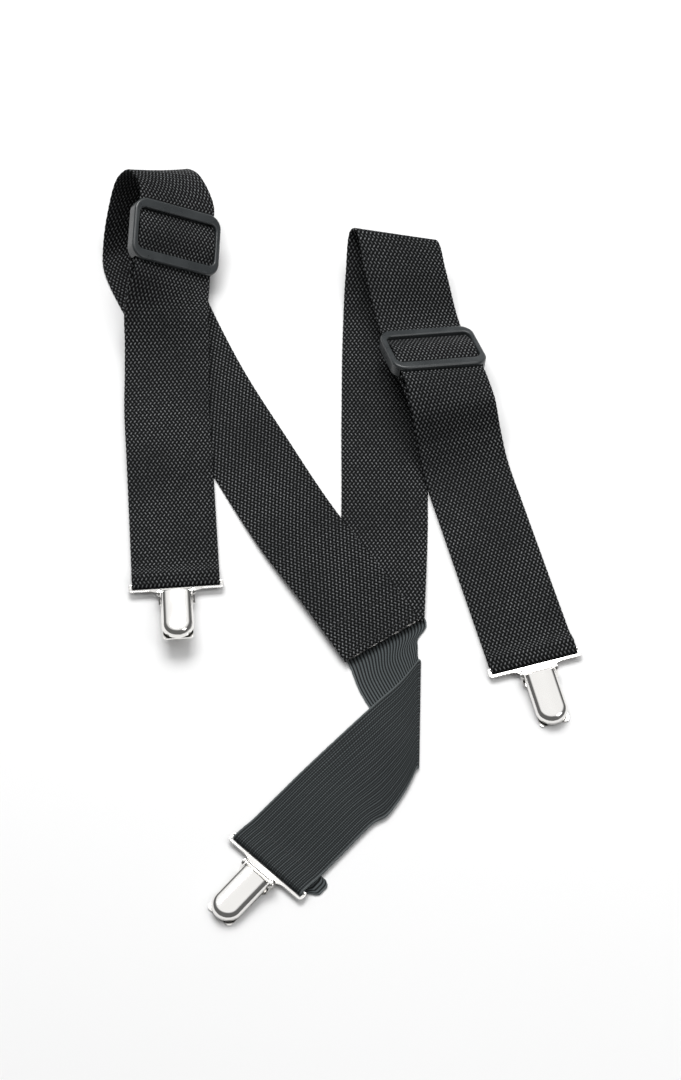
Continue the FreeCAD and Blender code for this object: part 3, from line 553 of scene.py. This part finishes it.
def woven_ribbon(name, run, width, thick, step, top_relief, under_relief, depth):
    """Closed woven band with round selvedges; its UV map is in metres along the band.

    The UV map's second channel, face, is 1 on the upper side and 0 on the lower one.
    """
    rings = len(run)
    along = lengths_along(run)[:, None]
    normal = normals(run)[:, None]
    u = across_steps(width, step)
    shares = (u / width + 0.5)[None, :, None]
    from_edge = np.clip((width / 2 - abs(u)) / (thick * EDGE_ROUNDING), 0, 1)
    half = thick / 2 * np.sqrt(1 - (1 - from_edge) ** 2)
    inside = (from_edge > FLAT_PART)[None, :]
    ground = run[:, None, 0] * (1 - shares) + run[:, None, 1] * shares
    sideways = run[:, 1] - run[:, 0]
    sideways = (sideways / np.linalg.norm(sideways, axis=1)[:, None])[:, None]
    edge_side = np.where(from_edge < FLAT_PART, np.sign(u), 0)[None, :]
    wave = edge_side * np.cos(math.pi * along / CELL_ALONG)
    ground = ground + sideways * (wave * depth * EDGE_WAVE - EDGE_WAVE * depth * abs(wave))[:, :, None]
    top_height = half + (top_relief(u[None], along) - 1) * depth / 2 * inside
    under_height = half + (under_relief(u[None], along) - 1) * depth / 2 * inside
    top = ground + normal * top_height[:, :, None]
    under = ground - normal * under_height[:, :, None]
    ring = np.concatenate([top, under[:, -2:0:-1]], axis=1)
    around = ring.shape[1]
    spot = np.arange(around)
    after = (spot + 1) % around
    start = (np.arange(rings - 1) * around)[:, None]
    corners = [start + spot, start + around + spot, start + around + after, start + after]
    faces = np.stack(corners, axis=2).reshape(-1, 4).tolist()
    faces.append(list(range(around)))
    faces.append(list(range(rings * around - 1, (rings - 1) * around - 1, -1)))
    piece = new_object(name, ring.reshape(-1, 3), faces)
    loops = np.empty(len(piece.data.loops), np.int32)
    piece.data.loops.foreach_get("vertex_index", loops)
    ring_u = np.concatenate([u, u[-2:0:-1]])
    upper = np.concatenate([np.ones(len(u)), np.zeros(len(u) - 2)])
    for channel, first, second in (("UVMap", ring_u * MM, along[:, 0] * MM),
                                   ("face", upper, along[:, 0] * 0)):
        uv = np.stack([np.tile(first, rings), np.repeat(second, around)], axis=1)
        layer = piece.data.uv_layers.new(name=channel)
        layer.data.foreach_set("uv", uv[loops].astype(np.float32).ravel())
    return piece


def stitches(name, chains, radius, length):
    """Short bowed threads lying on a surface: each is (middle, way along, normal)."""
    points, faces = [], []
    sides, rings = THREAD_SIDES, THREAD_RINGS
    for spot, way, normal in chains:
        side = np.cross(way, normal)
        base = len(points)
        for ring in range(rings):
            share = ring / (rings - 1)
            bow = math.sin(math.pi * share)
            fat = radius * (THREAD_TIP + (1 - THREAD_TIP) * bow ** 0.5)
            rise = radius * (bow - THREAD_SINK)
            middle_spot = spot + way * (length * (share - 0.5)) + normal * rise
            for corner in range(sides):
                angle = 2 * math.pi * corner / sides
                points.append(middle_spot + (side * math.cos(angle) + normal * math.sin(angle)) * fat)
        for ring in range(rings - 1):
            first = base + ring * sides
            for corner in range(sides):
                after = (corner + 1) % sides
                faces.append((first + corner, first + sides + corner,
                              first + sides + after, first + after))
        faces.append(tuple(range(base, base + sides)))
        faces.append(tuple(reversed(range(base + (rings - 1) * sides, base + rings * sides))))
    return new_object(name, points, faces)


def stitch_line(start, end, normal):
    """Places of the stitches along a line, as (middle, way along, normal)."""
    start, end = np.array(start, float), np.array(end, float)
    length = np.linalg.norm(end - start)
    way = (end - start) / length
    count = int(length / STITCH_PITCH)
    return [(start + way * ((index + 0.5) * length / count), way, np.array(normal, float))
            for index in range(count)]


# ---- Shader helpers ----

class Shader:
    """Short names for building one material's nodes."""

    def __init__(self, name):
        self.material = bpy.data.materials.new(name)
        self.material.use_nodes = True
        self.tree = self.material.node_tree
        self.surface = self.tree.nodes["Principled BSDF"]

    def set(self, **values):
        """Give the surface's own sockets constant values."""
        for name, value in values.items():
            self.surface.inputs[name.replace("_", " ")].default_value = value

    def put(self, socket, node, value):
        """Feed a node's socket with a link or a constant."""
        if isinstance(value, bpy.types.NodeSocket):
            self.tree.links.new(value, node.inputs[socket])
        else:
            node.inputs[socket].default_value = value

    def node(self, kind, output=0, settings=(), **inputs):
        """New node; gives one of its outputs."""
        made = self.tree.nodes.new(kind)
        for name, value in dict(settings).items():
            setattr(made, name, value)
        for name, value in inputs.items():
            self.put(name.replace("_", " "), made, value)
        return made.outputs[output]

    def math(self, operation, first, second=0.0):
        made = self.tree.nodes.new("ShaderNodeMath")
        made.operation = operation
        self.put(0, made, first)
        self.put(1, made, second)
        return made.outputs[0]

    def mix(self, share, first, second):
        made = self.tree.nodes.new("ShaderNodeMix")
        made.data_type = "RGBA"
        self.put(0, made, share)
        self.put(6, made, first)
        self.put(7, made, second)
        return made.outputs[2]

    def ramp(self, value, low, high, out_low=0.0, out_high=1.0):
        """Smooth step of a value, from out_low at low to out_high at high."""
        return self.node("ShaderNodeMapRange", settings={"interpolation_type": "SMOOTHSTEP"},
                         Value=value, From_Min=low, From_Max=high, To_Min=out_low, To_Max=out_high)

    def uv(self, channel="UVMap"):
        """Across and along the band, in metres."""
        split = self.tree.nodes.new("ShaderNodeSeparateXYZ")
        self.put(0, split, self.node("ShaderNodeUVMap", settings={"uv_map": channel}))
        return split.outputs[0], split.outputs[1]

    def place(self):
        """Object coordinates, in metres."""
        return self.node("ShaderNodeTexCoord", 3)

    def noise(self, scale, detail, vector=None):
        where = self.place() if vector is None else vector
        return self.node("ShaderNodeTexNoise", Vector=where, Scale=scale, Detail=detail)

    def combine(self, x, y):
        return self.node("ShaderNodeCombineXYZ", X=x, Y=y)

    def bump(self, height, distance, strength):
        return self.node("ShaderNodeBump", Height=height, Distance=distance, Strength=strength)

    def link(self, socket, value):
        """Feed one of the surface's sockets."""
        self.tree.links.new(value, self.surface.inputs[socket])


def grey(value, tint=NEUTRAL):
    return (value * tint[0], value * tint[1], value * tint[2], 1.0)


def webbing_material():
    """Black polypropylene webbing: checkered slanting floats, with painted shade in the gaps between
    them and a painted glint on their crowns.
    """
    s = Shader("webbing")
    u, v = s.uv()
    turn_v = s.math("MULTIPLY", v, math.pi / (CELL_ALONG * MM))
    slanted = s.math("ADD", u, s.math("MULTIPLY", s.math("SINE", turn_v), FLOAT_SLANT * MM))
    turn_u = s.math("MULTIPLY", slanted, math.pi / (CELL_ACROSS * MM))
    weave = s.math("MULTIPLY", s.math("COSINE", turn_u), s.math("COSINE", turn_v))
    strands = s.math("SINE", s.math("MULTIPLY", slanted, 2 * math.pi / (STRAND_PITCH * MM)))
    fuzz = s.noise(2400, 3.0)
    warp = s.ramp(weave, -0.4, 0.3)
    weft = s.ramp(weave, -0.6, -0.95)
    pile = s.math("ADD", warp, s.math("MULTIPLY", weft, 0.5))
    height = s.math("ADD", pile, s.math("MULTIPLY", s.math("MULTIPLY", strands, warp), 0.08))
    height = s.math("ADD", height, s.math("MULTIPLY", fuzz, 0.2))
    s.link("Normal", s.bump(height, 0.0004, 0.9))
    # Painted glint: a bright colour on each float's crown, varied by cells and patches, stands in for
    # the lamps' reflection
    cells = s.noise(1, 0.0, s.combine(s.math("MULTIPLY", u, 800), s.math("MULTIPLY", v, 480)))
    patches = s.noise(24, 3.0)
    painted_glint = s.math("MULTIPLY", s.ramp(weave, 0.28, 0.92), s.ramp(cells, 0.25, 0.7, 0.55, 1.35))
    painted_glint = s.math("MULTIPLY", painted_glint, s.ramp(patches, 0.3, 0.7, 0.75, 1.2))
    # Painted shade: where the weave dips between floats the colour goes near black, far darker than
    # the yarn's own grey
    tone = s.mix(pile, grey(0.0008), grey(0.024, PILE_TINT))
    tone = s.mix(s.math("MULTIPLY", painted_glint, 0.6), tone, grey(0.24, PAINTED_GLINT_TINT))
    s.link("Base Color", tone)
    s.link("Roughness", s.ramp(fuzz, 0.3, 0.7, 0.5, 0.68))
    s.set(Specular_IOR_Level=0.05)
    return s.material


def elastic_material():
    """Dark elastic: a fine grid of small stitches on one face, wide smooth ribs on the other, with
    painted highlight on the rib tops and painted shade in the valleys.
    """
    s = Shader("elastic")
    u, v = s.uv()
    gridded = s.ramp(s.uv("face")[0], 0.45, 0.55)
    wide_turn = s.math("MULTIPLY", u, 2 * math.pi / (WIDE_RIB * MM))
    wide = s.ramp(s.math("COSINE", wide_turn), -0.75, 0.6)
    purl = s.math("SINE", s.math("MULTIPLY", v, 2 * math.pi / (PURL_PITCH * MM)))
    fine_turn = s.math("MULTIPLY", u, 2 * math.pi / (FINE_RIB * MM))
    fine = s.ramp(s.math("COSINE", fine_turn), -0.9, 0.7)
    grid = s.math("MULTIPLY", fine, s.ramp(purl, -1.0, 0.6, 0.35, 1.0))
    grid = s.math("MULTIPLY", grid, s.ramp(wide, 0.0, 0.5, 0.4, 1.0))
    faint = s.math("MULTIPLY", wide, s.ramp(purl, -1.0, 1.0, 0.85, 1.0))
    rib = s.math("ADD", s.math("MULTIPLY", grid, gridded),
                 s.math("MULTIPLY", faint, s.math("SUBTRACT", 1.0, gridded)))
    fuzz = s.noise(2800, 3.0)
    height = s.math("ADD", rib, s.math("MULTIPLY", fuzz, 0.2))
    s.link("Normal", s.bump(height, 0.0003, 0.9))
    patches = s.ramp(s.noise(20, 3.0), 0.3, 0.7, 0.0, 0.25)
    # Painted light: the rib tops are painted lighter and the valleys darker, a painted highlight and
    # painted shade on the relief
    tone = s.mix(rib, grey(0.013, ELASTIC_DARK_TINT), grey(0.095, ELASTIC_RIB_TINT))
    tone = s.mix(s.math("MULTIPLY", patches, rib), tone, grey(0.13, ELASTIC_DARK_TINT))
    edge_start, edge_full = [(ELASTIC_WIDTH / 2 - inset) * MM for inset in PALE_EDGE]
    edge = s.ramp(s.math("ABSOLUTE", u), edge_start, edge_full)
    tone = s.mix(s.math("MULTIPLY", edge, 0.8), tone, grey(0.19, ELASTIC_EDGE_TINT))
    s.link("Base Color", tone)
    s.link("Roughness", s.ramp(fuzz, 0.3, 0.7, 0.66, 0.8))
    s.set(Specular_IOR_Level=0.08)
    return s.material


def melted_material():
    """Heat-sealed end: webbing melted to a dark, glossy bead with pale burrs."""
    s = Shader("melted_edge")
    lumps = s.noise(700, 3.0)
    burrs = s.ramp(s.noise(760, 4.0), 0.55, 0.62)
    s.link("Base Color", s.mix(burrs, grey(0.006), grey(0.42, BURR_TINT)))
    s.link("Normal", s.bump(lumps, 0.0004, 0.9))
    s.link("Roughness", s.ramp(lumps, 0.3, 0.7, 0.3, 0.55))
    return s.material


def thread_material():
    """Dark spun thread."""
    s = Shader("thread")
    twist = s.noise(4000, 2.0)
    s.link("Normal", s.bump(twist, 0.0001, 0.6))
    s.link("Base Color", s.mix(twist, grey(0.012), grey(0.035)))
    s.set(Roughness=0.6)
    return s.material


def plastic_material(name, low, high):
    """Satin moulded plastic with faint flow mottling."""
    s = Shader(name)
    flow = s.noise(90, 4.0)
    grain = s.noise(2200, 2.0)
    s.link("Base Color", s.mix(flow, grey(low, PLASTIC_TINT), grey(high, PLASTIC_TINT)))
    s.link("Roughness", s.ramp(flow, 0.3, 0.7, 0.24, 0.36))
    s.link("Normal", s.bump(grain, 0.00003, 0.35))
    s.set(Specular_IOR_Level=0.5)
    return s.material


def metal_material(name, tone, smoothest, roughest):
    """Polished metal with fine handling scratches and slightly darker smudges."""
    s = Shader(name)
    stretched = s.node("ShaderNodeMapping", Vector=s.place(), Scale=(60, 900, 300))
    scratches = s.noise(6, 3.0, stretched)
    smudges = s.noise(55, 3.0)
    s.link("Base Color", s.mix(smudges, tone, grey(tone[0] * 0.93, NICKEL_TINT)))
    s.link("Roughness", s.ramp(smudges, 0.35, 0.75, smoothest, roughest))
    s.link("Normal", s.bump(scratches, 0.00001, 0.3))
    s.set(Metallic=1.0)
    return s.material


def floor_material():
    """Matt, nearly white."""
    s = Shader("pale_floor")
    s.link("Base Color", s.mix(s.noise(3, 2.0), grey(0.9), grey(0.92)))
    s.set(Roughness=0.9, Specular_IOR_Level=0.1)
    return s.material


WEBBING = webbing_material()
MELTED = melted_material()
ELASTIC = elastic_material()
THREAD = thread_material()
SLIDER_PLASTIC = plastic_material("slider_plastic", 0.026, 0.042)
PAD_PLASTIC = plastic_material("pad_plastic", 0.03, 0.04)
NICKEL = metal_material("nickel", grey(0.86, NICKEL_TINT), 0.08, 0.16)
SPRING_STEEL = metal_material("spring_steel", grey(0.62, STEEL_TINT), 0.18, 0.3)


def dress(piece, material):
    """Give a piece one material, in place of any that it has."""
    piece.data.materials.clear()
    piece.data.materials.append(material)


# ---- Camera, light and floor ----

def make_camera():
    """Looks down on the plan's zero, from the clips' side."""
    data = bpy.data.cameras.new("camera")
    data.sensor_width = SENSOR
    data.lens = PIXELS_PER_MM * CAMERA_DISTANCE / MM / IMAGE_HEIGHT * SENSOR
    camera = bpy.data.objects.new("camera", data)
    bpy.context.scene.collection.objects.link(camera)
    tilt = math.radians(CAMERA_ELEVATION)
    target = Vector(LAYOUT_ORIGIN * MM)
    camera.location = target + Vector((0, -math.cos(tilt), math.sin(tilt))) * CAMERA_DISTANCE
    camera.rotation_euler = (math.pi / 2 - tilt, 0, 0)
    bpy.context.scene.camera = camera


def area_light(name, place, size, power):
    """Rectangular light aimed at the middle of the part."""
    data = bpy.data.lights.new(name, "AREA")
    data.shape = "RECTANGLE"
    data.size, data.size_y = size
    data.energy = power
    light = bpy.data.objects.new(name, data)
    bpy.context.scene.collection.objects.link(light)
    light.location = place
    light.rotation_euler = (-Vector(place)).to_track_quat("-Z", "Y").to_euler()


def make_floor():
    """Level square under the part."""
    reach = FLOOR_HALF
    mesh = bpy.data.meshes.new("floor")
    mesh.from_pydata([(-reach, -reach, 0), (reach, -reach, 0), (reach, reach, 0), (-reach, reach, 0)],
                     [], [(0, 1, 2, 3)])
    floor = bpy.data.objects.new("floor", mesh)
    bpy.context.scene.collection.objects.link(floor)
    dress(floor, floor_material())


def make_sky():
    """World light: bright near SKY_AXIS, dim elsewhere."""
    world = bpy.data.worlds.new("studio")
    world.use_nodes = True
    nodes, links = world.node_tree.nodes, world.node_tree.links
    nodes["Background"].inputs["Color"].default_value = (1.0, 1.0, 1.0, 1.0)
    toward = nodes.new("ShaderNodeTexCoord")
    nearness = nodes.new("ShaderNodeVectorMath")
    nearness.operation = "DOT_PRODUCT"
    nearness.inputs[1].default_value = SKY_AXIS
    glow = nodes.new("ShaderNodeMapRange")
    glow.interpolation_type = "SMOOTHSTEP"
    for socket, value in zip(("From Min", "From Max", "To Min", "To Max"),
                             (SKY_EDGE, SKY_FULL, SKY_DIM, SKY_BRIGHT)):
        glow.inputs[socket].default_value = value
    links.new(toward.outputs["Generated"], nearness.inputs[0])
    links.new(nearness.outputs["Value"], glow.inputs["Value"])
    links.new(glow.outputs[0], nodes["Background"].inputs["Strength"])
    bpy.context.scene.world = world


def make_studio():
    """Sky, two lamps and the floor."""
    make_sky()
    area_light("key", KEY_PLACE, KEY_SIZE, KEY_WATTS)
    area_light("fill", FILL_PLACE, FILL_SIZE, FILL_WATTS)
    bpy.context.scene.view_settings.view_transform = "Standard"
    make_floor()


# ---- The soft pieces ----


def webbing_band(name, run, thick, body):
    """Woven band that rides on a body."""
    piece = woven_ribbon(name, run, WEB_WIDTH, thick, CELL_ACROSS,
                         check_weave, check_weave, WEAVE_DEPTH)
    dress(piece, WEBBING)
    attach(piece, body)
    return piece


def make_strap(name, node, run):
    """One of the two long straps."""
    piece = webbing_band(name, run, WEB_THICK, "straps")
    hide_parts(node)


def make_elastic():
    """The ribbed elastic at the back."""
    run = evenly(elastic_run(), ELASTIC_STEP)
    piece = woven_ribbon("elastic_band", run, ELASTIC_WIDTH, ELASTIC_THICK, WIDE_RIB / 6,
                         fine_ribs, wide_ribs, RIB_DEPTH)
    dress(piece, ELASTIC)
    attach(piece, "straps")
    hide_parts("back_elastic")


def make_slider_webbing(side, slider):
    """The strap's sewn tab, its stitches, and the webbing that bulges in the window."""
    body = side + "_slider_body"
    run = evenly(tab_run(slider), WEB_STEP)
    tab = webbing_band(side + "_tab_webbing", run, TAB_THICK, body)
    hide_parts(side + "_strap_tab")
    run = evenly(hump_run(slider), WEB_STEP)
    hump = webbing_band(side + "_window_webbing", run, HUMP_THICK, body)
    mid = slider_levels()[2]
    reach = TAB_THICK + TAB_BAR_GAP / 2
    half = WEB_WIDTH / 2 - TAB_SIDE_INSET
    chains = []
    for row in TAB_ROWS:
        y = row - TAB_LENGTH
        for face in (-1, 1):
            z = mid + face * reach
            ends = slider.place([[-half, y, z], [half, y, z]])
            chains += stitch_line(ends[0], ends[1], slider.z * face)
    make_thread(side + "_tab_thread", side + "_tab_stitching", body, chains)


def make_thread(name, node, body, chains):
    """The stitches of one seam, as one piece."""
    piece = stitches(name, chains, THREAD_R, STITCH_LENGTH)
    dress(piece, THREAD)
    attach(piece, body)
    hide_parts(node)


def make_yoke_thread():
    """Two rows along the left strap's end, seen from above and from below."""
    along = across(YOKE_YAW, 0)
    back = np.array([-along[1], along[0], 0])
    end = np.array([*YOKE_END, 0])
    half = along * (WEB_WIDTH / 2 - SEAM_SIDE_INSET)
    chains = []
    for row in YOKE_ROWS:
        top = end + back * row + UP * (level(2) + WEB_THICK / 2)
        low = end + back * row + UP * YOKE_THREAD_LOW
        chains += stitch_line(top - half, top + half, UP)
        chains += stitch_line(low - half, low + half, -UP)
    make_thread("yoke_thread", "yoke_stitching", "straps", chains)


def make_hem_thread():
    """One row across the elastic, over the end of its hem."""
    side = BACK_CLIP.side * (ELASTIC_WIDTH / 2 - SEAM_SIDE_INSET)
    from_bar = HEM_LENGTH - HEM_ROW
    spot = BACK_CLIP.bar - ELASTIC_HEADING * from_bar
    lift = elastic_rise() * ease(1 - from_bar / FOLD_RISE_RUN)
    spot[2] = elastic_level(1) + ELASTIC_THICK / 2 + lift
    chains = stitch_line(spot - side, spot + side, UP)
    make_thread("hem_thread", "back_hem_stitching", "straps", chains)


def make_melted_edge():
    """Uneven bead along the left strap's cut end, swelling in three overlaid waves."""
    along = across(YOKE_YAW, 0)
    out = np.array([along[1], -along[0], 0])
    start = LEFT_REAR[0][0]
    rings, sides = BEAD_RINGS, BEAD_SIDES
    points, faces = [], []
    for ring in range(rings + 1):
        share = ring / rings
        swell = math.sin(share * 61) * math.sin(share * 23 + 1) + 0.6 * math.sin(share * 147 + 2)
        fat = (BEAD_R + BEAD_SWELL * swell) * min(1, 12 * min(share, 1 - share) + 0.3)
        spot = start + along * (WEB_WIDTH * share) + out * (BEAD_OUT + BEAD_DRIFT * swell)
        for corner in range(sides):
            angle = 2 * math.pi * corner / sides
            points.append(spot + out * (fat * math.cos(angle))
                          + UP * (BEAD_TALL * fat * math.sin(angle)))
    for ring in range(rings):
        for corner in range(sides):
            first, after = ring * sides, (corner + 1) % sides
            faces.append((first + corner, first + after,
                          first + sides + after, first + sides + corner))
    faces.append(tuple(reversed(range(sides))))
    faces.append(tuple(range(rings * sides, rings * sides + sides)))
    piece = new_object("left_strap_sealed_end", points, faces)
    dress(piece, MELTED)
    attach(piece, "straps")


def dress_nodes():
    """Finishes of the CAD nodes that stay."""
    for name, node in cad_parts.items():
        if name.endswith("slider"):
            dress(node, SLIDER_PLASTIC)
        elif name.endswith("jaw_pad"):
            dress(node, PAD_PLASTIC)
        elif name.endswith("clip_jaw"):
            dress(node, SPRING_STEEL)
        elif "clip" in name:
            dress(node, NICKEL)


make_camera()
make_studio()
dress_nodes()
left_run = strap_run(LEFT_REAR, LEFT_LOWER, LEFT_DROPS, LEFT_SLIDER, LEFT_FLAT,
                     LEFT_FRONT_YAW, LEFT_FRONT_RUN, LEFT_CLIP)
right_run = strap_run(RIGHT_REAR, RIGHT_LOWER, RIGHT_DROPS, RIGHT_SLIDER, RIGHT_FLAT,
                      RIGHT_FRONT_YAW, RIGHT_FRONT_RUN, RIGHT_CLIP)
make_strap("left_strap_webbing", "left_strap", left_run)
make_strap("right_strap_webbing", "right_strap", right_run)
make_elastic()
make_slider_webbing("left", LEFT_SLIDER)
make_slider_webbing("right", RIGHT_SLIDER)
make_yoke_thread()
make_hem_thread()
make_melted_edge()
